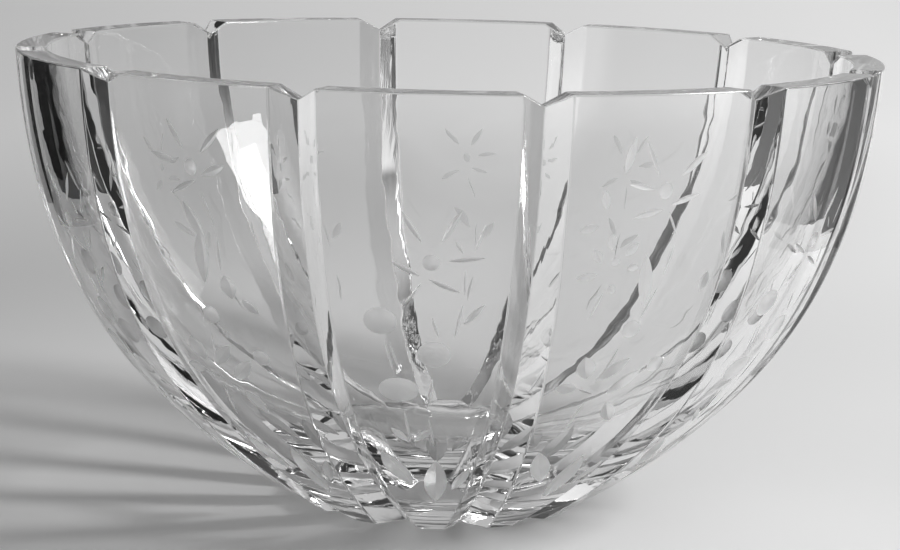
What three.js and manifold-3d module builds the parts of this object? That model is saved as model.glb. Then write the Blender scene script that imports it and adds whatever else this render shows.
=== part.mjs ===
// A heavy cut-glass bowl: one turned body with mitre grooves down its outside and V notches across its rim.
// Millimetres, +Z up. The origin is the middle of the flat base, and a panel between two grooves faces -Y.
import * as THREE from "three";
import { mergeVertices, toCreasedNormals } from "three/addons/utils/BufferGeometryUtils.js";
import Module from "manifold-3d";

const wasm = await Module();
wasm.setup();

// Driving dimensions of the turned body
const RIM_RADIUS = 125; // outside of the wall at the rim
const HEIGHT = 133; // flat base to the top of the rim
const BASE_RADIUS = 39; // edge of the flat base
const RIM_WALL = 9; // glass at the rim, outside to inside
const FLOOR_THICKNESS = 16; // glass under the middle of the hollow
const RIM_BEVEL = 0.8; // ground edge on both sides of the rim

// How the side bends between the base and the rim
const RIM_PULL = 63; // height below the rim over which the side stays steep
const RIM_LEAN = 5; // how far the steep side leans in over that height
const BASE_REACH = 59; // how far the side runs outwards as it leaves the base
const BASE_RISE = 35; // how far it climbs over that run
const HEEL_WALL = 22; // by how much the hollow turns up short of the outside

// Driving dimensions of the cuts
const GROOVE_COUNT = 12; // grooves, and so panels, around the bowl
const GROOVE_WIDTH = 13.2; // across the open side of a groove
const GROOVE_DEPTH = 4.6; // square to the surface, down to the V
const NOTCH_WIDTH = 12.7; // along the rim, across the top of a notch
const NOTCH_DEPTH = 3.4; // below the top of the rim
const RUN_OFF = 14; // how far a cut carries on past the glass

// Fineness of the facets
const FACETS_PER_PANEL = 6; // steps around the bowl from groove to groove
const OUTSIDE_STEPS = 14; // steps up the outside
const INSIDE_STEPS = 14; // steps down the hollow
const GROOVE_STEPS = 20; // steps along a groove and its run-offs
const WELD = 1e-4; // points closer than this are one point
const CREASE = THREE.MathUtils.degToRad(25); // sharper corners than this stay crisp

const point = (radius, z) => new THREE.Vector2(radius, z);

// Outside of the side, from the edge of the base up to the rim's bevel
const outside = new THREE.CubicBezierCurve(
  point(BASE_RADIUS, 0),
  point(BASE_RADIUS + BASE_REACH, BASE_RISE),
  point(RIM_RADIUS - RIM_LEAN, HEIGHT - RIM_PULL),
  point(RIM_RADIUS, HEIGHT - RIM_BEVEL),
);

// Inside of the hollow, from the rim's other bevel down to the middle of its floor
const innerRadius = RIM_RADIUS - RIM_WALL;
const inside = new THREE.CubicBezierCurve(
  point(innerRadius, HEIGHT - RIM_BEVEL),
  point(innerRadius - RIM_LEAN, HEIGHT - RIM_PULL),
  point(BASE_RADIUS + BASE_REACH - HEEL_WALL, FLOOR_THICKNESS),
  point(0, FLOOR_THICKNESS),
);

// Turn a closed geometry into a solid that can be joined and cut
function toSolid(geometry) {
  const bare = new THREE.BufferGeometry();
  bare.setAttribute("position", geometry.getAttribute("position"));
  bare.setIndex(geometry.getIndex());
  const welded = mergeVertices(bare, WELD);
  const corners = welded.getIndex().array;
  const triVerts = [];
  for (let i = 0; i < corners.length; i += 3) {
    const [a, b, c] = corners.slice(i, i + 3);
    const collapsed = a === b || b === c || c === a;
    if (!collapsed) triVerts.push(a, b, c);
  }
  return new wasm.Manifold(new wasm.Mesh({
    numProp: 3,
    vertProperties: Float32Array.from(welded.getAttribute("position").array),
    triVerts: Uint32Array.from(triVerts),
  }));
}

// Turn a solid back into a geometry whose round sides are shaded smooth
function toGeometry(solid) {
  const { vertProperties, triVerts } = solid.getMesh();
  const geometry = new THREE.BufferGeometry();
  geometry.setAttribute("position", new THREE.BufferAttribute(vertProperties, 3));
  geometry.setIndex(new THREE.BufferAttribute(triVerts, 1));
  return toCreasedNormals(geometry, CREASE);
}

// The turned body: base, outside, bevelled rim and hollow, revolved once round +Z
function makeBody() {
  const profile = [
    point(0, 0),
    ...outside.getSpacedPoints(OUTSIDE_STEPS),
    point(RIM_RADIUS - RIM_BEVEL, HEIGHT),
    point(innerRadius + RIM_BEVEL, HEIGHT),
    ...inside.getSpacedPoints(INSIDE_STEPS),
  ];
  const geometry = new THREE.LatheGeometry(profile, GROOVE_COUNT * FACETS_PER_PANEL);
  return toSolid(geometry.rotateX(Math.PI / 2));
}

// A V of the given width and depth at height 0, with its sides carried on above by the same depth again
function makeVee(width, depth) {
  const vee = new THREE.Shape();
  vee.moveTo(0, -depth);
  vee.lineTo(width, depth);
  vee.lineTo(-width, depth);
  vee.closePath();
  return vee;
}

// One groove as the wheel leaves it: a V swept up the outside and run off straight past both ends
function makeGroove() {
  const raised = (flat) => new THREE.Vector3(flat.x, 0, flat.y);
  const foot = raised(outside.v0);
  const top = raised(outside.v3);
  const belowFoot = foot.clone().addScaledVector(raised(outside.getTangent(0)), -RUN_OFF);
  const aboveTop = top.clone().addScaledVector(raised(outside.getTangent(1)), RUN_OFF);
  const path = new THREE.CurvePath();
  path.add(new THREE.LineCurve3(belowFoot, foot));
  path.add(new THREE.CubicBezierCurve3(foot, raised(outside.v1), raised(outside.v2), top));
  path.add(new THREE.LineCurve3(top, aboveTop));
  const vee = makeVee(GROOVE_WIDTH, GROOVE_DEPTH);
  const groove = new THREE.ExtrudeGeometry(vee, { extrudePath: path, steps: GROOVE_STEPS });
  return groove.rotateZ(-Math.PI / 2);
}

// One rim notch: a V laid level across the wall and run off straight past both sides of it
function makeNotch() {
  const vee = makeVee(NOTCH_WIDTH, NOTCH_DEPTH);
  const notch = new THREE.ExtrudeGeometry(vee, { depth: RIM_WALL + 2 * RUN_OFF, bevelEnabled: false });
  notch.rotateX(Math.PI / 2);
  return notch.translate(0, RUN_OFF - innerRadius, HEIGHT);
}

// The cut bowl: every groove and its notch taken out of the turned body, half a panel away from -Y
function makeBowl() {
  const pitch = (2 * Math.PI) / GROOVE_COUNT;
  const cuts = [makeGroove(), makeNotch()];
  let bowl = makeBody();
  for (let i = 0; i < GROOVE_COUNT; i += 1) {
    for (const cut of cuts) {
      bowl = bowl.subtract(toSolid(cut.clone().rotateZ((i + 0.5) * pitch)));
    }
  }
  return toGeometry(bowl);
}

const crystal = new THREE.MeshStandardMaterial({ color: 0xd8dbdd, roughness: 0.05, metalness: 0 });

const bowl = new THREE.Mesh(makeBowl(), crystal);
bowl.name = "bowl";

const part = new THREE.Group();
part.add(bowl);

export default part;
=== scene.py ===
# %% [markdown]
# # A bowl of cut lead crystal
#
# The real bowl starts as one thick pressed blank. A V-edged stone, called a mitre wheel, grinds
# twelve straight grooves down its outside and runs out through the rim, the cuts are polished, and
# small wheels engrave flowers on the panels between them. This lesson follows the same order: the
# turned body, the grooves, the ground edges, the flowers, and then the finishes and the studio.

# %% The fixed frame
import math

import bmesh
import bpy
import numpy as np
from mathutils import Matrix, Vector
from mathutils.geometry import interpolate_bezier


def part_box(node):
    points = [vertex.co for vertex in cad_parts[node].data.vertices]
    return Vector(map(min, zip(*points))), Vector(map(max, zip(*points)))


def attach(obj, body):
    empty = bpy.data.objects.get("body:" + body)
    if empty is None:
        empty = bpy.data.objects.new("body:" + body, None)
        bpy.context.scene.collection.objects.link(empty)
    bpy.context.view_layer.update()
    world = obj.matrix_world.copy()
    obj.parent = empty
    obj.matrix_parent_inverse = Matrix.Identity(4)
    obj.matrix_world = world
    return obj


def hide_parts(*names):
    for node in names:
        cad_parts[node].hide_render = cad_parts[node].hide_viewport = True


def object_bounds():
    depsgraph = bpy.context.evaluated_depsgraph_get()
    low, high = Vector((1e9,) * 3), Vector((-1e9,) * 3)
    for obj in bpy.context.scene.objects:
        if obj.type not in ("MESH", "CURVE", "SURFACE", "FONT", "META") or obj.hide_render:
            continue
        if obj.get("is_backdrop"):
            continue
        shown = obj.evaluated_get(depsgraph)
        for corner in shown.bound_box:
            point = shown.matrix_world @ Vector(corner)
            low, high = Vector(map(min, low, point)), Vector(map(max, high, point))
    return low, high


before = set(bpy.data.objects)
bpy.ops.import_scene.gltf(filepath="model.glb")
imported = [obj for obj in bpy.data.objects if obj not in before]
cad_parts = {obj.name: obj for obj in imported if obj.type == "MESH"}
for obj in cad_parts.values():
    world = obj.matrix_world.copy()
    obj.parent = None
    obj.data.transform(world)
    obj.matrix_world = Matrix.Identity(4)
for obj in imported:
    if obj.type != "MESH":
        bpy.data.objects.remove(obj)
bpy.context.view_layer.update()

MM = 0.001

# %% [markdown]
# ## The camera
#
# A photograph of a round bowl gives its camera away: the near and far rim make two ellipses, and
# the notches say how far the bowl is turned. The camera stands a little above the rim and some
# 0.84 m away, and it leans a little to one side. A long lens keeps the ellipses as flat as they
# look.

# %% The camera
CAMERA_REACH = 839.8 * MM  # level distance from the bowl's axis
CAMERA_HEIGHT = 204.3 * MM  # above the table
CAMERA_SIDE = math.radians(3.52)  # round to the right of the front panel
CAMERA_AIM = math.radians(3.43)
CAMERA_TILT = math.radians(9.285)
CAMERA_ROLL = math.radians(1.308)
CAMERA_LENS = 115.76  # mm, on a sensor 36 mm wide


def turn(angle, axis):
    return Matrix.Rotation(angle, 4, axis)


bpy.ops.object.select_all(action="DESELECT")
bpy.ops.object.camera_add()
camera = bpy.context.object
camera.name = "camera"
camera.data.sensor_fit = "HORIZONTAL"
camera.data.sensor_width = 36
camera.data.lens = CAMERA_LENS
aim = turn(CAMERA_AIM, "Z") @ turn(math.radians(90) - CAMERA_TILT, "X") @ turn(CAMERA_ROLL, "Z")
stand = turn(CAMERA_SIDE, "Z") @ Matrix.Translation((0, -CAMERA_REACH, CAMERA_HEIGHT))
camera.matrix_world = Matrix.Translation(stand.translation) @ aim
bpy.context.scene.camera = camera
print("camera at", [round(v, 3) for v in camera.location], "lens", round(camera.data.lens, 2))

# %% [markdown]
# ## The turned profile
#
# A blank is pressed in a round mould, so one outline gives the whole body. Two Bezier curves, with
# the handles that the CAD solid has, run from the edge of the flat base to the rim and from the rim
# down to the middle of the hollow. The straight run-offs past the ends of the outside are where the
# mitre wheel enters and leaves.

# %% The turned profile
_, bowl_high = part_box("bowl")
ROOM_FOR_ROUNDS = 0.03  # the rounded rim swells a little past its profile, and so stays in the box
HEIGHT = bowl_high.z / MM  # shapes are worked out in mm and placed in metres
RIM_RADIUS = bowl_high.x / MM - ROOM_FOR_ROUNDS
RIM_WALL, RIM_BEVEL = 9, 0.8
BASE_RADIUS, FLOOR_THICKNESS = 39, 16
BEVEL_LINE = HEIGHT - RIM_BEVEL
FOOT_HANDLE = (98, 35)  # radius and height that the side heads for as it leaves the base
STEEP_HEIGHT, RIM_LEAN = 70, 5  # above this the side is steep and leans out only so far
HOLLOW_SIDE, HOLLOW_HEEL = 111, 76  # radius of the handles that bend the hollow
RUN_OFF = 14  # how far the wheel's path goes on past the glass
CURVE_POINTS = 500


def curve_points(*handles):
    flat = [Vector((radius, z, 0)) for radius, z in handles]
    return np.array([point[:2] for point in interpolate_bezier(*flat, CURVE_POINTS)])


def run_off(points, end, beside):
    way = points[end] - points[beside]
    return points[end] + RUN_OFF * way / np.linalg.norm(way)


outer = curve_points(
    (BASE_RADIUS, 0), FOOT_HANDLE, (RIM_RADIUS - RIM_LEAN, STEEP_HEIGHT), (RIM_RADIUS, BEVEL_LINE))
outer = np.vstack([run_off(outer, 0, 1), outer, run_off(outer, -1, -2)])
hollow = curve_points(
    (RIM_RADIUS - RIM_WALL, BEVEL_LINE), (HOLLOW_SIDE, STEEP_HEIGHT),
    (HOLLOW_HEEL, FLOOR_THICKNESS), (0, FLOOR_THICKNESS))
hollow = np.vstack([run_off(hollow, 0, 1), hollow])


def square_to(points):
    """Unit vectors (radius, z) square to a profile, on its right-hand side"""
    way = np.gradient(points, axis=0)
    way /= np.linalg.norm(way, axis=1)[:, None]
    return np.stack([way[:, 1], -way[:, 0]], axis=1)


outer_normal = square_to(outer)
hollow_normal = square_to(hollow)
print("outside runs", [round(v, 1) for v in outer[1]], "to", [round(v, 1) for v in outer[-2]])

# %% [markdown]
# ## One twenty-fourth of the bowl
#
# Half a panel and half a groove hold every shape that the bowl has; the rest is the same piece
# mirrored and turned. Cutting the grooves with a Boolean would leave slivers along their edges, and
# polished glass shows each one as a kink. So the outline is drawn at the middle of a panel, spun
# through half a pitch, and the columns of points that this leaves are then slid sideways and
# inwards to where the wheel's two flat sides meet the glass.

# %% Where each column of points runs
GROOVES = 12
HALF_PITCH = math.pi / GROOVES
GROOVE_WIDTH, GROOVE_DEPTH, NOTCH_DEPTH = 13.2, 4.6, 3.4
PANEL_COLUMNS, GROOVE_COLUMNS = 9, 4
COLUMNS = PANEL_COLUMNS + GROOVE_COLUMNS
OUTSIDE_ROWS, HOLLOW_ROWS = 64, 48
CLOSER_BELOW = 1.2  # a power above 1 sets the rows closer together near the base

slope = 2 * GROOVE_DEPTH / GROOVE_WIDTH
bend = outer_normal[:, 0] / outer[:, 0]  # how fast the panel curves away from the groove
half_width = (np.sqrt(slope ** 2 + 2 * bend * GROOVE_DEPTH) - slope) / bend
rim_half = float(np.interp(HEIGHT, outer[:, 1], half_width))
climb = np.linspace(0, 1, OUTSIDE_ROWS + 1) ** CLOSER_BELOW


def share_of(column):
    """How far a column is across its panel, and how far down its side of the groove"""
    return min(column / PANEL_COLUMNS, 1), max((column - PANEL_COLUMNS) / GROOVE_COLUMNS, 0)


def wheel_track(down):
    """A line along the side of the groove: distance from its middle plane, radius and height"""
    aside = half_width * (1 - down)
    lift = (slope * aside - GROOVE_DEPTH)[:, None]
    track = outer + outer_normal * lift
    return aside, track[:, 0], track[:, 1]


def from_groove(aside, radius):
    """Points given from the middle plane of the groove, turned to where the groove lies"""
    angle = HALF_PITCH - np.arctan2(aside, radius)
    reach = np.hypot(aside, radius)
    return reach * np.sin(angle), -reach * np.cos(angle)


def outside_column(column):
    across, down = share_of(column)
    z = climb * (HEIGHT - NOTCH_DEPTH * down)
    aside, radius, track_z = wheel_track(down)
    aside, radius = np.interp(z, track_z, aside), np.interp(z, track_z, radius)
    if down > 0:
        return np.stack([*from_groove(aside, radius), z], axis=1)
    angle = across * (HALF_PITCH - np.arctan2(aside, radius))
    radius = np.interp(z, outer[:, 1], outer[:, 0])
    return np.stack([radius * np.sin(angle), -radius * np.cos(angle), z], axis=1)


def hollow_column(column):
    across, down = share_of(column)
    lip = hollow[::-1]
    length = np.concatenate([[0], np.cumsum(np.linalg.norm(np.diff(lip, axis=0), axis=1))])
    top = np.interp(HEIGHT - NOTCH_DEPTH * down, lip[:, 1], length)
    steps = np.linspace(top, 0, HOLLOW_ROWS + 1)
    radius, z = np.interp(steps, length, lip[:, 0]), np.interp(steps, length, lip[:, 1])
    lip_angle = math.asin(rim_half * (1 - down) / radius[0])
    angle = (HALF_PITCH - lip_angle) * across
    return np.stack([radius * np.sin(angle), -radius * np.cos(angle), z], axis=1)


def whole_column(column):
    """From the middle of the base, up the outside, over the rim and down into the hollow"""
    up = outside_column(column)
    base = np.stack([up[0] * 0, up[0] * 0.5])
    return np.vstack([base, up, hollow_column(column)]) * MM


columns = np.array([whole_column(column) for column in range(COLUMNS + 1)])
print("columns x points:", columns.shape[:2], "half a groove at the rim, mm:", round(rim_half, 2))

# %% Draw the outline by extruding a point, and spin it
def edit(action, kind="VERT"):
    bpy.ops.object.mode_set(mode="EDIT")
    bpy.ops.mesh.select_mode(type=kind)
    bpy.ops.mesh.select_all(action=action)


def leave_edit():
    bpy.ops.object.mode_set(mode="OBJECT")


bpy.ops.object.select_all(action="DESELECT")
bpy.ops.mesh.primitive_plane_add(size=0.01, location=columns[0][0])
bowl = bpy.context.object
bowl.name = "cut_bowl"
edit("SELECT")
bpy.ops.mesh.merge(type="CENTER")
for start, stop in zip(columns[0], columns[0][1:]):
    bpy.ops.mesh.extrude_region_move(TRANSFORM_OT_translate={"value": Vector(stop - start)})
bpy.ops.mesh.select_all(action="SELECT")
bpy.ops.mesh.spin(steps=COLUMNS, angle=-HALF_PITCH, center=(0, 0, 0), axis=(0, 0, 1))
leave_edit()
print("spun points:", len(bowl.data.vertices))

# %% Slide each column to its place
ROWS = columns.shape[1]
WELD = 0.01 * MM  # points closer than this are one point
GROOVED_ROWS = range(2, 2 + OUTSIDE_ROWS + 2)  # up the outside and across the rim
spun = np.array([vertex.co for vertex in bowl.data.vertices])
reach = np.hypot(spun[:, 0], spun[:, 1])
profile = np.stack([-columns[0][:, 1], columns[0][:, 2]], axis=1)
spun_profile = np.stack([reach, spun[:, 2]], axis=1)
row_of = np.argmin(np.linalg.norm(spun_profile[:, None] - profile, axis=2), axis=1)
column_of = np.rint(np.arctan2(spun[:, 0], -spun[:, 1]) / HALF_PITCH * COLUMNS).astype(int)
column_of[reach < WELD] = 0  # points on the axis belong to every column
for vertex, row, column in zip(bowl.data.vertices, row_of, column_of):
    vertex.co = columns[column][row]

# The faces are sorted by the finish that they will get
POLISHED, HOLLOW, GROOVED, EDGED, ENGRAVED = range(5)
for face in bowl.data.polygons:
    rows = row_of[list(face.vertices)]
    across = column_of[list(face.vertices)]
    if rows.min() >= GROOVED_ROWS.stop - 1:
        face.material_index = HOLLOW
    elif across.min() >= PANEL_COLUMNS and rows.min() >= GROOVED_ROWS.start:
        face.material_index = GROOVED
print("rows found:", len(set(row_of)), "of", ROWS)

# %% [markdown]
# ## The whole bowl
#
# A Mirror modifier makes the wedge into a full panel between two half grooves, and eleven turned
# copies close the ring, as the cutter works round the bowl against the marks of a dividing wheel.
# The doubled points along the joins are merged, and then the normals are worked out again because
# the mirror turned half of them round.

# %% Mirror the wedge and go round the bowl
bpy.ops.object.modifier_add(type="MIRROR")
bowl.modifiers[-1].merge_threshold = WELD
bpy.ops.object.modifier_apply(modifier=bowl.modifiers[-1].name)
edit("SELECT")
pitch = 2 * HALF_PITCH
others = GROOVES - 1
bpy.ops.mesh.spin(
    steps=others, angle=pitch * others, dupli=True, center=(0, 0, 0), axis=(0, 0, 1))
bpy.ops.mesh.select_all(action="SELECT")
bpy.ops.mesh.remove_doubles(threshold=WELD)
bpy.ops.mesh.normals_make_consistent(inside=False)
bpy.ops.mesh.select_all(action="DESELECT")
bpy.ops.mesh.select_non_manifold()
open_points = bowl.data.total_vert_sel
leave_edit()
print("faces round the bowl:", len(bowl.data.polygons), "open points:", open_points)

# %% [markdown]
# ## Ground edges
#
# No cut edge on glass is left raw: it would chip and cut. The rim is rounded off by 1.3 mm on both
# sides, and polishing rounds the crests of the grooves by nearly a millimetre and softens the
# bottom of each V. Every one of these thin rounds catches a light of its own, and so they draw the
# fine bright and dark lines that outline the panels. A Bevel modifier makes them all at once, with
# the width taken from each edge's bevel weight, so the corners meet.

# %% Weigh the crests and bevel them
RIM_ROUND, CREST_ROUND, KEEL_ROUND = 1.3, 0.9, 0.45
CREASE = math.radians(20)  # flatter edges are steps of a round surface
shape = bmesh.new()
shape.from_mesh(bowl.data)
weight = shape.edges.layers.float.new("bevel_weight_edge")
counted = {RIM_ROUND: 0, CREST_ROUND: 0, KEEL_ROUND: 0}
for edge in shape.edges:
    angle = edge.calc_face_angle_signed(0)
    if abs(angle) < CREASE:
        continue
    on_rim = all(abs(vertex.co.z - HEIGHT * MM) < WELD for vertex in edge.verts)
    around = abs(edge.verts[0].co.xy.length - edge.verts[1].co.xy.length) < 1 * MM
    rounding = KEEL_ROUND if angle < 0 else RIM_ROUND if on_rim and around else CREST_ROUND
    edge[weight] = rounding / RIM_ROUND
    counted[rounding] += 1
shape.to_mesh(bowl.data)
shape.free()

# The finishes fill these places later, and the bevel already needs them to name its own
for _ in (POLISHED, HOLLOW, GROOVED, EDGED):
    bowl.data.materials.append(None)
bpy.ops.object.modifier_add(type="BEVEL")
ground = bowl.modifiers[-1]
ground.limit_method = "WEIGHT"
ground.width = RIM_ROUND * MM
ground.segments = 4
ground.material = EDGED
bpy.ops.object.modifier_apply(modifier=ground.name)
print("edges bevelled:", counted, "faces now:", len(bowl.data.polygons))

# %% [markdown]
# ## The engraver's wheels
#
# The flowers are cut last, with small wheels, and left matt. A stroke of a V-edged wheel leaves the
# shape of a boat: two pointed ends, a keel where the wheel went deepest, and two flat flanks.
# Petals, leaves and stems are all such strokes, long or short, wide or narrow. A round-edged wheel
# leaves a smooth dish, for buds and the hearts of the flowers. Each tool is modelled once, as the
# part of the wheel that dips into the glass.

# %% The V-edged wheel
STICK_OUT = 0.8  # how far a tool stands out of the glass, in depths of its cut


def dip_of(wheel_radius):
    """How deep a wheel dips into the glass when its cut comes out 1 long"""
    return wheel_radius - math.sqrt(wheel_radius ** 2 - 0.25)


def bare_tool(name, wheel_radius):
    """Keep what dips into the glass, and a little more, and stretch it to a cut of 1 x 1 x 1"""
    tool = bpy.context.object
    tool.name = name
    leave_edit()
    bpy.ops.object.transform_apply(location=True, rotation=True, scale=True)
    dip = dip_of(wheel_radius)
    edit("SELECT")
    bpy.ops.mesh.bisect(
        plane_co=(0, 0, STICK_OUT * dip), plane_no=(0, 0, 1), clear_outer=True, use_fill=True)
    bpy.ops.mesh.select_all(action="SELECT")
    bpy.ops.transform.resize(value=(1, 1, 1 / dip), center_override=(0, 0, 0))
    bpy.ops.mesh.normals_make_consistent(inside=False)
    leave_edit()
    return tool


V_WHEEL = 3  # radius, in lengths of the cut
axle = V_WHEEL - dip_of(V_WHEEL)
hub = 0.5 * V_WHEEL / dip_of(V_WHEEL)  # so that the cut comes out 1 wide
bpy.ops.object.select_all(action="DESELECT")
bpy.ops.mesh.primitive_circle_add(
    vertices=150, radius=V_WHEEL, location=(0, 0, axle), rotation=(math.pi / 2, 0, 0))
wheel = bpy.context.object
edit("SELECT", "EDGE")
bpy.ops.mesh.extrude_edges_move(TRANSFORM_OT_translate={"value": (0, hub, 0)})
bpy.ops.mesh.merge(type="CENTER")
leave_edit()
for edge in wheel.data.edges:
    ends = [wheel.matrix_world @ wheel.data.vertices[i].co for i in edge.vertices]
    edge.select = all(abs(end.y) < 1e-4 for end in ends)  # the rim of the wheel
bpy.ops.object.mode_set(mode="EDIT")
bpy.ops.mesh.extrude_edges_move(TRANSFORM_OT_translate={"value": (0, -hub, 0)})
bpy.ops.mesh.merge(type="CENTER")
v_tool = bare_tool("v_wheel", V_WHEEL)
print("V wheel:", len(v_tool.data.polygons), "faces", [round(v, 2) for v in v_tool.dimensions])

# %% The round-edged wheel
ROUND_WHEEL = 1
axle = ROUND_WHEEL - dip_of(ROUND_WHEEL)
bpy.ops.object.select_all(action="DESELECT")
bpy.ops.mesh.primitive_uv_sphere_add(
    segments=20, ring_count=28, radius=ROUND_WHEEL, location=(0, 0, axle))
round_tool = bare_tool("round_wheel", ROUND_WHEEL)
size = [round(v, 2) for v in round_tool.dimensions]
print("round wheel:", len(round_tool.data.polygons), "faces", size)

# %% [markdown]
# ## The flowers
#
# Three bouquets take turns on the panels that face the room: a long-petalled flower over three seed
# heads, a flower with a curved leaf, and a flower with a star beside it. The far panels carry a
# single plain stem, cut shallow so that little shows through the glass. The engraver works from
# marks on a panel, and so does this cell: every stroke is written down by where it starts and
# stops, as mm to the right of the panel's middle and mm above the table. Broad cuts come first, and
# thin stems second, so that a stem may run into a leaf.

# %% The strokes of the bouquets
# start right, start up, stop right, stop up, width, depth
LEAVES_AT_THE_FOOT = [
    (3.9, 33.6, 1.8, 8.6, 6.6, 0.8), (-12.3, 33.2, -2.6, 18.4, 6.0, 0.8),
    (12.6, 27.0, 6.8, 17.6, 3.2, 0.6),
]
SEED_HEADS = {
    "broad": [
        (-4.7, 103.6, 1.6, 93.8, 1.6, 0.45), (11.6, 103.7, 5.7, 93.9, 1.7, 0.45),
        (7.0, 89.6, 18.4, 90.8, 1.3, 0.4), (-7.6, 89.5, 1.2, 85.2, 1.3, 0.4),
        (2.2, 84.9, 11.5, 80.9, 1.4, 0.4), (17.5, 78.3, 11.3, 72.0, 1.9, 0.45),
        (-8.2, 40.6, -3.3, 35.4, 2.6, 0.5), (3.2, 40.8, -2.2, 35.6, 2.6, 0.5), *LEAVES_AT_THE_FOOT,
    ],
    "thin": [
        (9.5, 95.2, 11.8, 91.5, 0.7, 0.2), (17.6, 100.2, 14.3, 91.6, 0.7, 0.2),
        (1.6, 84.5, -4.6, 75.8, 0.8, 0.25), (12.1, 88.0, 12.1, 79.9, 0.7, 0.22),
        (12.0, 79.5, 9.0, 66.8, 0.8, 0.25), (3.4, 74.9, 5.6, 67.6, 0.7, 0.22),
        (-9.2, 69.0, -6.2, 56.4, 0.8, 0.25), (-8.0, 68.6, -4.6, 56.6, 0.7, 0.22),
        (4.2, 59.6, 1.4, 44.0, 0.8, 0.25), (1.9, 46.4, 3.4, 31.5, 0.8, 0.25),
        (-4.6, 48.6, -2.6, 33.8, 0.9, 0.28),
    ],
    "round": [
        (3.5, 89.2, 4.6, 4.6, 0.45), (-9.8, 72.7, 9.4, 8.8, 0.6), (4.0, 63.5, 9.6, 9.2, 0.6),
        (-5.4, 52.6, 12.0, 9.6, 0.6),
    ],
}
SPRAY = {
    "broad": [
        (-11.4, 62.6, -8.7, 55.4, 5.6, 0.95), (-17.0, 53.3, -10.2, 52.7, 4.0, 0.85),
        (-6.2, 54.4, 2.4, 61.6, 4.0, 0.85), (-1.4, 50.4, 7.4, 57.8, 4.0, 0.85),
        (0.4, 47.9, 4.6, 41.2, 4.4, 0.95), *LEAVES_AT_THE_FOOT,
    ],
    "thin": [
        (-1.6, 68.4, -6.2, 50.2, 0.8, 0.25), (10.2, 57.6, -5.4, 49.4, 0.7, 0.22),
        (-10.4, 52.7, -4.8, 50.6, 0.7, 0.22), (-5.9, 51.6, -8.6, 35.6, 0.9, 0.28),
    ],
    "round": [(-0.6, 70.0, 5.4, 5.6, 0.55), (11.0, 58.8, 5.2, 5.4, 0.55)],
}
CURVED_LEAF = {
    "broad": [
        (-5.4, 123.1, 0.1, 114.5, 1.5, 0.45), (12.0, 121.5, 4.9, 114.1, 2.0, 0.5),
        (-12.1, 113.4, -1.9, 111.3, 1.8, 0.45), (-5.9, 103.0, 3.4, 107.3, 1.6, 0.45),
        (4.6, 108.3, 12.6, 111.6, 2.6, 0.5), (-2.4, 101.6, 3.4, 90.3, 3.4, 0.9),
        (7.1, 82.0, 8.0, 75.2, 5.0, 0.95), (10.8, 75.4, 15.2, 71.8, 3.0, 0.75), *SPRAY["broad"],
    ],
    "thin": [
        (2.1, 95.3, 0.1, 77.6, 4.4, 0.95), (3.8, 105.3, 7.5, 93.9, 0.8, 0.25),
        (7.4, 93.5, 6.4, 81.4, 0.8, 0.25), *SPRAY["thin"],
    ],
    "round": [(1.7, 110.4, 4.0, 4.6, 0.45), *SPRAY["round"]],
}
STAR = {
    "broad": [
        (5.6, 111.2, 13.4, 117.9, 2.2, 0.5), (-6.0, 122.0, -0.4, 110.9, 1.2, 0.35),
        (-8.6, 122.3, -10.8, 112.1, 2.4, 0.4), (-9.7, 109.9, -1.4, 108.1, 1.5, 0.4),
        (3.1, 103.7, 12.6, 106.7, 1.8, 0.45), (-7.5, 100.7, 2.0, 102.9, 1.8, 0.45),
        (-12.1, 97.1, -11.2, 92.2, 2.6, 0.4), (-7.4, 90.5, -4.1, 94.2, 2.4, 0.4),
        (-16.4, 92.9, -13.5, 88.8, 2.6, 0.4), (-6.1, 87.2, -2.9, 87.7, 2.2, 0.4),
        (-20.1, 84.9, -14.0, 85.8, 2.4, 0.4), (-10.5, 82.7, -8.4, 80.6, 2.4, 0.4),
        (-21.3, 97.5, -16.1, 99.1, 2.2, 0.4), (-15.6, 108.5, -14.6, 103.3, 2.4, 0.4),
        (-1.5, 92.9, 1.6, 74.0, 4.2, 0.65), (18.2, 79.1, 19.6, 85.1, 3.4, 0.6), *SPRAY["broad"],
    ],
    "thin": [
        (3.0, 102.9, 7.0, 95.2, 0.7, 0.22), (6.9, 94.8, 4.8, 83.4, 0.7, 0.22),
        (4.7, 83.0, 0.5, 71.0, 0.7, 0.22), (-11.2, 82.2, -14.1, 72.2, 0.7, 0.22), *SPRAY["thin"],
    ],
    "round": [(1.6, 107.7, 4.0, 4.6, 0.45), (-9.7, 89.2, 2.4, 2.4, 0.3), *SPRAY["round"]],
}
SINGLE_STEM = {
    "broad": [
        (3.7, 87.2, 9.8, 96.0, 1.8, 0.16), (0.4, 87.6, -5.0, 97.0, 1.8, 0.16),
        (-1.8, 84.2, -10.2, 86.6, 1.6, 0.16), (0.2, 79.6, -7.0, 77.9, 1.6, 0.16),
        (3.2, 80.0, 10.6, 75.6, 1.8, 0.16), (-2.6, 58.6, 5.0, 67.0, 2.4, 0.22),
        (-5.2, 54.6, -10.8, 61.7, 2.4, 0.22),
    ],
    "thin": [
        (1.6, 80.4, -3.5, 65.6, 0.7, 0.16), (-3.6, 65.2, -4.6, 47.4, 0.7, 0.16),
        (-4.5, 47.0, -2.0, 31.0, 0.7, 0.16),
    ],
    "round": [(1.8, 83.6, 3.0, 3.0, 0.12)],
}
BOUQUETS = {panel: SINGLE_STEM for panel in (4, 5, 6, 7, 8, 9)}
BOUQUETS |= {-2: SEED_HEADS, -1: CURVED_LEAF, 0: SEED_HEADS, 1: STAR, 2: SEED_HEADS, 3: CURVED_LEAF}


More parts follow.
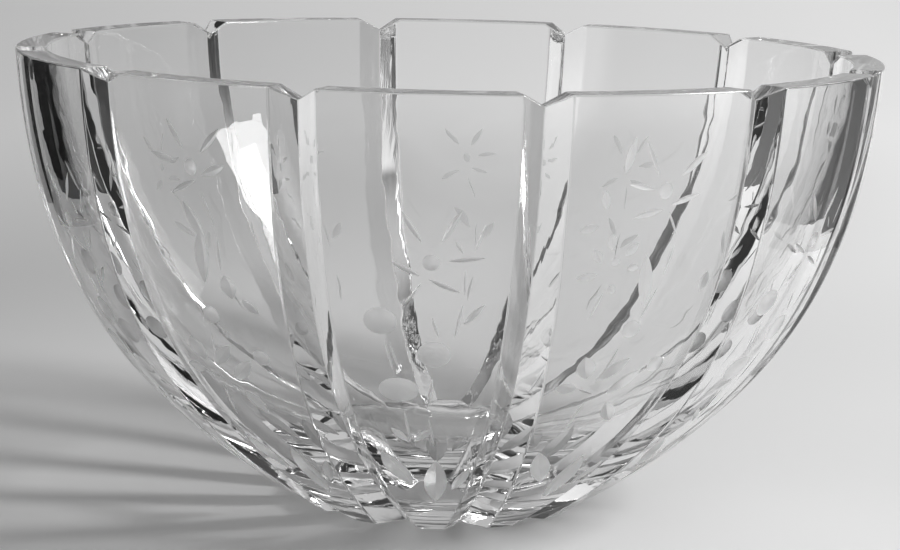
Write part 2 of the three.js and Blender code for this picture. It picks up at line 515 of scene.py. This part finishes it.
def on_panel(panel, right, up):
    """A point of a panel in mm, and the way straight out of the glass there"""
    curves = (outer[:, 0], *outer_normal.T)
    radius, lean_out, lean_up = (np.interp(up, outer[:, 1], curve) for curve in curves)
    angle = panel * pitch + right / radius
    point = Vector((radius * math.sin(angle), -radius * math.cos(angle), up))
    return point, Vector((lean_out * math.sin(angle), -lean_out * math.cos(angle), lean_up))


def stroke(tool, panel, start, stop, width, depth):
    """A copy of a tool, stretched and set into the glass from one point of a panel to another"""
    first, last = on_panel(panel, *start)[0], on_panel(panel, *stop)[0]
    middle, out = on_panel(panel, *((a + b) / 2 for a, b in zip(start, stop)))
    along = (last - first) - out * (last - first).dot(out)
    axes = Matrix((along.normalized(), out.cross(along.normalized()), out)).transposed().to_4x4()
    size = Matrix.Diagonal((along.length * MM, width * MM, depth * MM, 1))
    cut = bpy.data.objects.new("cut", tool.data.copy())
    cut.data.transform(Matrix.Translation(middle * MM) @ axes @ size)
    bpy.context.collection.objects.link(cut)
    return cut


def bouquet_cuts(bouquet, panel, kinds):
    cuts = []
    for right, up, width, tall, depth in bouquet["round"] if "round" in kinds else []:
        start, stop = (right - width / 2, up), (right + width / 2, up)
        cuts.append(stroke(round_tool, panel, start, stop, tall, depth))
    for kind in [kind for kind in kinds if kind != "round"]:
        for *way, width, depth in bouquet[kind]:
            cuts.append(stroke(v_tool, panel, way[:2], way[2:], width, depth))
    return cuts


# %% Lay the cuts of every panel out and join them
def cuts_round_the_bowl(name, kinds):
    cuts = []
    for panel, bouquet in BOUQUETS.items():
        cuts += bouquet_cuts(bouquet, panel, kinds)
    bpy.ops.object.select_all(action="DESELECT")
    for cut in cuts:
        cut.select_set(True)
    bpy.context.view_layer.objects.active = cuts[0]
    bpy.ops.object.join()
    joined = bpy.context.object
    joined.name = name
    print(name, "holds", len(cuts), "cuts,", len(joined.data.polygons), "faces round the bowl")
    return joined


broad_cuts = cuts_round_the_bowl("broad_cuts", ("broad", "round"))
thin_cuts = cuts_round_the_bowl("thin_cuts", ("thin",))

# %% [markdown]
# ## Finishes of the glass
#
# Lead crystal is clear all through, so every finish here is the same glass, and only its surface
# differs. Full transmission at a refractive index of 1.545 gives the strong bending and sparkle of
# about a quarter lead oxide. Each finish gets the marks that its own way of working leaves: faint
# waves from pressing and fire-polishing, fine threads from the mitre wheel, a soft haze on ground
# edges and a fine grit on the engraving.

# %% Colours and nodes
def linear(code):
    """An sRGB hex colour as linear red, green, blue and alpha"""
    levels = [int(code[i:i + 2], 16) / 255 for i in (0, 2, 4)]
    return [v / 12.92 if v <= 0.04045 else ((v + 0.055) / 1.055) ** 2.4 for v in levels] + [1]


def add_node(tree, kind, settings, sockets):
    """Add a node, set its settings, and set or link its sockets"""
    new = tree.nodes.new(kind)
    for name, value in settings.items():
        setattr(new, name, value)
    for name, value in sockets.items():
        if isinstance(value, bpy.types.NodeSocket):
            tree.links.new(value, new.inputs[name])
        else:
            new.inputs[name].default_value = value
    return new


def new_finish(name):
    """An empty node material, its tree and the place on the bowl that its patterns read"""
    finish = bpy.data.materials.new(name)
    finish.use_nodes = True
    finish.node_tree.nodes.clear()
    place = add_node(finish.node_tree, "ShaderNodeTexCoord", {}, {}).outputs["Object"]
    return finish, finish.node_tree, place


def per_metre(size_mm):
    """Texture scale that makes a pattern repeat about once in so many mm"""
    return 1 / (size_mm * MM)


LEAD_CRYSTAL = {"Base Color": linear("FAFAFA"), "IOR": 1.545, "Transmission Weight": 1.0}
print("refractive index of every finish:", LEAD_CRYSTAL["IOR"])

# %% Polished crystal: outside of the panels, rim and base
# Felt-polished after cutting, so it is quite clear, with only a trace of long waves to bend the
# reflections.
polished, tree, place = new_finish("polished_lead_crystal")
waves = add_node(tree, "ShaderNodeTexNoise", {}, {
    "Vector": place, "Scale": per_metre(16), "Detail": 1.0})
relief = add_node(tree, "ShaderNodeBump", {}, {
    "Height": waves.outputs[0], "Strength": 1.0, "Distance": 0.012 * MM})
glass = add_node(tree, "ShaderNodeBsdfPrincipled", {}, {
    **LEAD_CRYSTAL, "Roughness": 0.0, "Normal": relief.outputs[0]})
add_node(tree, "ShaderNodeOutputMaterial", {}, {"Surface": glass.outputs[0]})

# %% Fire-polished crystal: the hollow
# The plunger's chill marks are melted smooth by flame, which leaves soft waves that crinkle what is
# seen through.
fire_polished, tree, place = new_finish("fire_polished_lead_crystal")
long_waves = add_node(tree, "ShaderNodeTexNoise", {}, {
    "Vector": place, "Scale": per_metre(26), "Detail": 0.0})
swell = add_node(tree, "ShaderNodeBump", {}, {
    "Height": long_waves.outputs[0], "Strength": 1.0, "Distance": 0.16 * MM})
short_waves = add_node(tree, "ShaderNodeTexNoise", {}, {
    "Vector": place, "Scale": per_metre(8), "Detail": 1.0})
relief = add_node(tree, "ShaderNodeBump", {}, {
    "Height": short_waves.outputs[0], "Strength": 1.0, "Distance": 0.05 * MM,
    "Normal": swell.outputs[0]})
glass = add_node(tree, "ShaderNodeBsdfPrincipled", {}, {
    **LEAD_CRYSTAL, "Roughness": 0.0, "Normal": relief.outputs[0]})
add_node(tree, "ShaderNodeOutputMaterial", {}, {"Surface": glass.outputs[0]})

# %% Mitre-cut crystal: sides of the grooves and notches
# The stone's grit scores fine lines along the cut, and polishing softens them to threads about
# 0.9 mm apart that run on for some 60 mm. They split what shows through a groove into thin bright
# and dark lines.
mitre_cut, tree, place = new_finish("mitre_cut_lead_crystal")
part = add_node(tree, "ShaderNodeSeparateXYZ", {}, {0: place})
around = add_node(tree, "ShaderNodeMath", {"operation": "ARCTAN2"}, {
    0: part.outputs["X"], 1: part.outputs["Y"]})
folded = add_node(tree, "ShaderNodeMath", {"operation": "PINGPONG"}, {
    0: around.outputs[0], 1: HALF_PITCH})
flat = add_node(tree, "ShaderNodeVectorMath", {"operation": "MULTIPLY"}, {0: place, 1: (1, 1, 0)})
radius = add_node(tree, "ShaderNodeVectorMath", {"operation": "LENGTH"}, {0: flat.outputs[0]})
across = add_node(tree, "ShaderNodeMath", {"operation": "MULTIPLY"}, {
    0: folded.outputs[0], 1: radius.outputs["Value"]})
track = add_node(tree, "ShaderNodeCombineXYZ", {}, {
    "X": across.outputs[0], "Y": part.outputs["Z"], "Z": around.outputs[0]})
stretched = add_node(tree, "ShaderNodeVectorMath", {"operation": "MULTIPLY"}, {
    0: track.outputs[0], 1: (per_metre(0.9), per_metre(60), 4)})
threads = add_node(tree, "ShaderNodeTexNoise", {}, {
    "Vector": stretched.outputs[0], "Scale": 1.0, "Detail": 1.0})
relief = add_node(tree, "ShaderNodeBump", {}, {
    "Height": threads.outputs[0], "Strength": 1.0, "Distance": 0.012 * MM})
glass = add_node(tree, "ShaderNodeBsdfPrincipled", {}, {
    **LEAD_CRYSTAL, "Roughness": 0.01, "Normal": relief.outputs[0]})
add_node(tree, "ShaderNodeOutputMaterial", {}, {"Surface": glass.outputs[0]})

# %% Ground edges: bevels of the rim, crests and base
# Rounded on a fine stone and only half polished, so they glint in a soft line and wear dull in
# places.
edge_ground, tree, place = new_finish("edge_ground_lead_crystal")
wear = add_node(tree, "ShaderNodeTexNoise", {}, {
    "Vector": place, "Scale": per_metre(5), "Detail": 3.0})
haze = add_node(tree, "ShaderNodeMapRange", {}, {
    "Value": wear.outputs[0], "To Min": 0.0, "To Max": 0.04})
glass = add_node(tree, "ShaderNodeBsdfPrincipled", {}, {
    **LEAD_CRYSTAL, "Roughness": haze.outputs[0]})
add_node(tree, "ShaderNodeOutputMaterial", {}, {"Surface": glass.outputs[0]})

# %% Engraving: the matt flowers
# Left as the fine wheel cut it, so light scatters in it and it looks like grey frost, with a
# lighter and a darker flank. About a quarter of the light comes back from the surface as from white
# powder. The real grit marks are under a tenth of a mm; they are drawn 0.4 mm wide here so that
# they show.
engraved, tree, place = new_finish("wheel_engraved_lead_crystal")
grit = add_node(tree, "ShaderNodeTexNoise", {}, {
    "Vector": place, "Scale": per_metre(0.4), "Detail": 2.0})
relief = add_node(tree, "ShaderNodeBump", {}, {
    "Height": grit.outputs[0], "Strength": 0.6, "Distance": 0.012 * MM})
frost = add_node(tree, "ShaderNodeMapRange", {}, {
    "Value": grit.outputs[0], "To Min": 0.28, "To Max": 0.44})
glass = add_node(tree, "ShaderNodeBsdfPrincipled", {}, {
    **LEAD_CRYSTAL, "Roughness": frost.outputs[0], "Transmission Weight": 0.75,
    "Normal": relief.outputs[0]})
add_node(tree, "ShaderNodeOutputMaterial", {}, {"Surface": glass.outputs[0]})

for index, finish in enumerate((polished, fire_polished, mitre_cut, edge_ground)):
    bowl.data.materials[index] = finish
for cutter in (broad_cuts, thin_cuts):
    cutter.data.materials.clear()
    cutter.data.materials.append(engraved)
print("finishes:", [finish.name for finish in bowl.data.materials], "and", engraved.name)

# %% [markdown]
# ## Cutting the flowers
#
# A Boolean modifier takes each set of cuts out of the glass, and hands the matt finish on to the
# faces that it makes. Here the slivers that a Boolean leaves do no harm, because the next step
# gives the polished faces beside the cuts their true normals.

# %% Take the cuts out of the bowl
bpy.ops.object.select_all(action="DESELECT")
bowl.select_set(True)
bpy.context.view_layer.objects.active = bowl
for cutter in (broad_cuts, thin_cuts):
    bpy.ops.object.modifier_add(type="BOOLEAN")
    engraving = bowl.modifiers[-1]
    engraving.object = cutter
    engraving.operation = "DIFFERENCE"
    engraving.solver = "EXACT"
    engraving.use_self = False
    engraving.material_mode = "TRANSFER"
    bpy.ops.object.modifier_apply(modifier=engraving.name)
for tool in (broad_cuts, thin_cuts, v_tool, round_tool):
    bpy.data.objects.remove(tool)
edit("DESELECT")
bpy.ops.mesh.select_non_manifold()
open_points = bowl.data.total_vert_sel
leave_edit()
engraved_faces = sum(face.material_index == ENGRAVED for face in bowl.data.polygons)
print("faces:", len(bowl.data.polygons), "engraved:", engraved_faces, "open points:", open_points)

# %% [markdown]
# ## True normals
#
# Polished glass is judged by how evenly it bends what lies behind it, and flat facets or slivers
# show at once. Smooth shading alone averages the faces around a point, which goes wrong beside a
# cut. The outside and the hollow are surfaces of revolution, so the exact normal is known at every
# point and is stored as a custom normal. Where two finishes meet, and along the keels of the cuts,
# the edge is marked sharp; a bevel takes over the normals on both of its sides.

# %% Mark the sharp edges
SHARP = math.radians(40)
KEEL_SHARP = math.radians(25)  # the engraved cuts have shallower keels
shape = bmesh.new()
shape.from_mesh(bowl.data)
for face in shape.faces:
    face.smooth = True
for edge in shape.edges:
    left, right = edge.link_faces
    limit = KEEL_SHARP if left.material_index == ENGRAVED else SHARP
    edge.smooth = left.material_index == right.material_index and edge.calc_face_angle() < limit
print("sharp edges:", sum(not edge.smooth for edge in shape.edges))
shape.to_mesh(bowl.data)
shape.free()

# %% Give the polished faces their exact normals
mesh = bowl.data
normals = np.empty(len(mesh.loops) * 3)
mesh.corner_normals.foreach_get("vector", normals)
normals = normals.reshape(-1, 3)
corner = np.array([loop.vertex_index for loop in mesh.loops])
spots = np.array([vertex.co for vertex in mesh.vertices]) / MM
corners_each = [face.loop_total for face in mesh.polygons]
finish_of = np.repeat([face.material_index for face in mesh.polygons], corners_each)
level = np.repeat([abs(face.normal.z) > 0.999 for face in mesh.polygons], corners_each)
reach = np.hypot(spots[:, 0], spots[:, 1])


def turned_normals(profile, square):
    """Normals of a turned surface, found by radius plus height, which grows along both profiles"""
    along = profile.sum(axis=1)
    order = np.argsort(along)
    lean = [np.interp(reach + spots[:, 2], along[order], part[order]) for part in square.T]
    outwards = spots[:, :2] / np.maximum(reach, 1e-6)[:, None]
    return np.column_stack([outwards * lean[0][:, None], lean[1]])


for finish, profile, square in ((POLISHED, outer, outer_normal), (HOLLOW, hollow, hollow_normal)):
    exact = turned_normals(profile, square)[corner]
    chosen = finish_of == finish
    if finish == POLISHED:
        chosen &= ~level  # the flat base and the top of the rim aren't part of the turned side
    off = np.degrees(np.arccos(np.clip((normals[chosen] * exact[chosen]).sum(axis=1), -1, 1)))
    normals[chosen] = exact[chosen]
    print("corners set:", chosen.sum(), "turned by", round(off.mean(), 2), "degrees on average")

# A bevel's sides follow the faces that it joins
beside = np.zeros_like(spots)
ground = finish_of == EDGED
beside[corner[~ground]] = normals[~ground]
joined = ground & (np.abs(beside[corner]).sum(axis=1) > 0)
normals[joined] = beside[corner[joined]]
mesh.normals_split_custom_set(normals)
print("bevel corners joined:", joined.sum(), "of", ground.sum())

# %% [markdown]
# ## The studio
#
# Clear glass has no colour of its own: what the camera sees in it is the room, bent. So the room is
# planned from the glass. The table is a wide pale sheet that stays pale into the distance. One soft
# lamp stands on the right, low enough to throw the bowl's shadow and its bright streaks to the
# left. The room is dim, with a pale wall behind the bowl and a little light in front and above.
# Dark cards on both sides, as in any glass photograph, draw the outline: the ends of the bowl bend
# the view far out to the side, and find the cards there.

# %% The table
FLOOR_GAP = 0.3 * MM  # keeps the base and the table from sharing a plane
TABLE_SIZE = 12
# Painted shade: the sheet's colour darkens along this way, to the back left
PAINTED_SHADE_WAY = (-0.8, 0.6, 0)  # to the back left
GLOW_FROM = (0.27, -1.0, 0)  # the glow grows with the distance from here
bpy.ops.object.select_all(action="DESELECT")
bpy.ops.mesh.primitive_plane_add(size=TABLE_SIZE, location=(0, 0, -FLOOR_GAP))
table = bpy.context.object
table.name = "table"
bpy.ops.object.transform_apply(location=True, rotation=True, scale=True)
table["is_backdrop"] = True

# The sheet is painted greyer towards the back left: painted shade, standing in for the soft shadow
# of the bowl that reaches further back there. It glows a little where the lamp no longer reaches
# it, and more on the lamp's side, which is painted light, but only to rays from the camera and
# through glass.
paper, tree, place = new_finish("matt_paper_with_painted_shade")
away = add_node(tree, "ShaderNodeVectorMath", {"operation": "DOT_PRODUCT"}, {
    0: place, 1: PAINTED_SHADE_WAY})
# Painted shade: the base colour darkens towards the back left
painted_shade_grey = add_node(tree, "ShaderNodeMapRange", {"interpolation_type": "SMOOTHSTEP"}, {
    "Value": away.outputs["Value"], "From Min": 0.12, "From Max": 0.42,
    "To Min": linear("E6E6E6")[0], "To Max": linear("C2C2C2")[0]})
from_front = add_node(tree, "ShaderNodeVectorMath", {"operation": "SUBTRACT"}, {
    0: place, 1: GLOW_FROM})
far_off = add_node(tree, "ShaderNodeVectorMath", {"operation": "LENGTH"}, {
    0: from_front.outputs[0]})
bearing = add_node(tree, "ShaderNodeVectorMath", {"operation": "NORMALIZE"}, {
    0: from_front.outputs[0]})
side = add_node(tree, "ShaderNodeSeparateXYZ", {}, {0: bearing.outputs[0]})
# Painted light: the glow is stronger on the lamp's side, as the lamp's light would fall across the
# far table
lamp_side = add_node(tree, "ShaderNodeMapRange", {}, {
    "Value": side.outputs["X"], "From Min": -0.3, "From Max": 0,
    "To Min": 0.24, "To Max": 0.51})
fade = add_node(tree, "ShaderNodeMapRange", {"interpolation_type": "SMOOTHSTEP"}, {
    "Value": far_off.outputs["Value"], "From Min": 1.17, "From Max": 2.07,
    "To Max": lamp_side.outputs[0]})
ray = add_node(tree, "ShaderNodeLightPath", {}, {})
seen = add_node(tree, "ShaderNodeMath", {"operation": "MAXIMUM"}, {
    0: ray.outputs["Is Camera Ray"], 1: ray.outputs["Is Glossy Ray"]})
seen = add_node(tree, "ShaderNodeMath", {"operation": "MAXIMUM"}, {
    0: seen.outputs[0], 1: ray.outputs["Is Transmission Ray"]})
painted_glow = add_node(tree, "ShaderNodeMath", {"operation": "MULTIPLY"}, {
    0: fade.outputs[0], 1: seen.outputs[0]})
sheet = add_node(tree, "ShaderNodeBsdfPrincipled", {}, {
    "Base Color": painted_shade_grey.outputs[0], "Roughness": 0.9, "Emission Color": linear("FFFFFF"),
    "Emission Strength": painted_glow.outputs[0]})
add_node(tree, "ShaderNodeOutputMaterial", {}, {"Surface": sheet.outputs[0]})
table.data.materials.append(paper)
print("table:", [round(v, 1) for v in table.dimensions], "m")

# %% The room
world = bpy.data.worlds.new("dim_room")
world.use_nodes = True
tree = world.node_tree
tree.nodes.clear()
look = add_node(tree, "ShaderNodeTexCoord", {}, {}).outputs["Generated"]
room_light = 0.06
# direction to the middle, degrees from there to where it is full and to where it ends, brightness
ROOM_PATCHES = {
    "back wall": ((0.45, 1, 0.5), (20, 52), 0.55),
    "front": ((-0.17, -1, 0.12), (32, 38), 0.8),
    "ceiling": ((0.5, -0.4, 1), (22, 47), 0.5),
}
for middle, (full, end), brightness in ROOM_PATCHES.values():
    facing = add_node(tree, "ShaderNodeVectorMath", {"operation": "DOT_PRODUCT"}, {
        0: look, 1: Vector(middle).normalized()})
    patch = add_node(tree, "ShaderNodeMapRange", {"interpolation_type": "SMOOTHSTEP"}, {
        "Value": facing.outputs["Value"], "From Min": math.cos(math.radians(end)),
        "From Max": math.cos(math.radians(full)), "To Max": brightness})
    sum_so_far = add_node(tree, "ShaderNodeMath", {"operation": "ADD"}, {
        0: patch.outputs[0], 1: room_light})
    room_light = sum_so_far.outputs[0]
room = add_node(tree, "ShaderNodeBackground", {}, {"Color": room_light})
add_node(tree, "ShaderNodeOutputWorld", {}, {"Surface": room.outputs[0]})
bpy.context.scene.world = world
print("patches of light in the room:", list(ROOM_PATCHES))

# %% The soft lamp
def towards(side_degrees, up_degrees, distance):
    """A place seen from the bowl: degrees to the right of the front, degrees up, metres away"""
    side, up = math.radians(side_degrees), math.radians(up_degrees)
    flat = math.cos(up)
    return distance * Vector((math.sin(side) * flat, -math.cos(side) * flat, math.sin(up)))


LAMP_AIM = Vector((0, 0, 0.06))
LAMP_WIDE, LAMP_TALL, LAMP_WATTS = 0.40, 0.56, 13.5
lamp_place = towards(82, 37, 1.25)
facing_bowl = (LAMP_AIM - lamp_place).to_track_quat("-Z", "Y").to_euler()
bpy.ops.object.select_all(action="DESELECT")
bpy.ops.object.light_add(type="AREA", location=lamp_place, rotation=facing_bowl)
lamp = bpy.context.object
lamp.name = "soft_lamp"
lamp.data.shape = "RECTANGLE"
lamp.data.size, lamp.data.size_y = LAMP_WIDE, LAMP_TALL
lamp.data.energy = LAMP_WATTS
print("lamp radiance:", round(lamp.data.energy / (math.pi * lamp.data.size * lamp.data.size_y), 2))

# %% The dark cards
# They hang just outside the picture, hidden from the camera, and throw no shadow on the table.
# colour, distance to the right, from front to back, from low to high
CARDS = {
    "black_card": ("1E1E1E", -0.22, (-0.02, 0.115), (0.028, 0.14)),
    "grey_card": ("9C9C9C", 0.20, (-0.03, 0.11), (0.03, 0.12)),
}
for name, (colour, x, (front, back), (low, high)) in CARDS.items():
    bpy.ops.object.select_all(action="DESELECT")
    middle = (x, (front + back) / 2, (low + high) / 2)
    bpy.ops.mesh.primitive_plane_add(size=1, location=middle, rotation=(0, math.pi / 2, 0))
    card = bpy.context.object
    card.name = name
    card.scale = (high - low, back - front, 1)
    bpy.ops.object.transform_apply(location=True, rotation=True, scale=True)
    paint, tree, _ = new_finish("matt_" + name)
    matt = add_node(tree, "ShaderNodeBsdfDiffuse", {}, {"Color": linear(colour)})
    add_node(tree, "ShaderNodeOutputMaterial", {}, {"Surface": matt.outputs[0]})
    card.data.materials.append(paint)
    card.visible_camera = False
    card.visible_shadow = False
    card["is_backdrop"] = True
    print(name, "hangs", round(abs(x), 2), "m from the middle")

# %% Light through the bowl
# Without this the lamp's light stops at the glass; with it, the grooves throw their fan of streaks
# on the table.
lamp.data.cycles.is_caustics_light = True
bowl.cycles.is_caustics_caster = True
table.cycles.is_caustics_receiver = True
print("light is followed from", lamp.name, "through", bowl.name, "to", table.name)

# %% How the picture is taken
bpy.context.scene.view_settings.view_transform = "Standard"
cycles = bpy.context.scene.cycles
cycles.max_bounces = 24
cycles.transmission_bounces = 24
cycles.glossy_bounces = 12
print("light paths may bend", cycles.transmission_bounces, "times in the glass")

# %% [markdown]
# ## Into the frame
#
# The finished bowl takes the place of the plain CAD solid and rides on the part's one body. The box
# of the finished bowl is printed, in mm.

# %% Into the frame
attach(bowl, "root")
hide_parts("bowl")
low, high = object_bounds()
print("visual box in mm:", [round(v / MM, 2) for v in (*low, *high)])
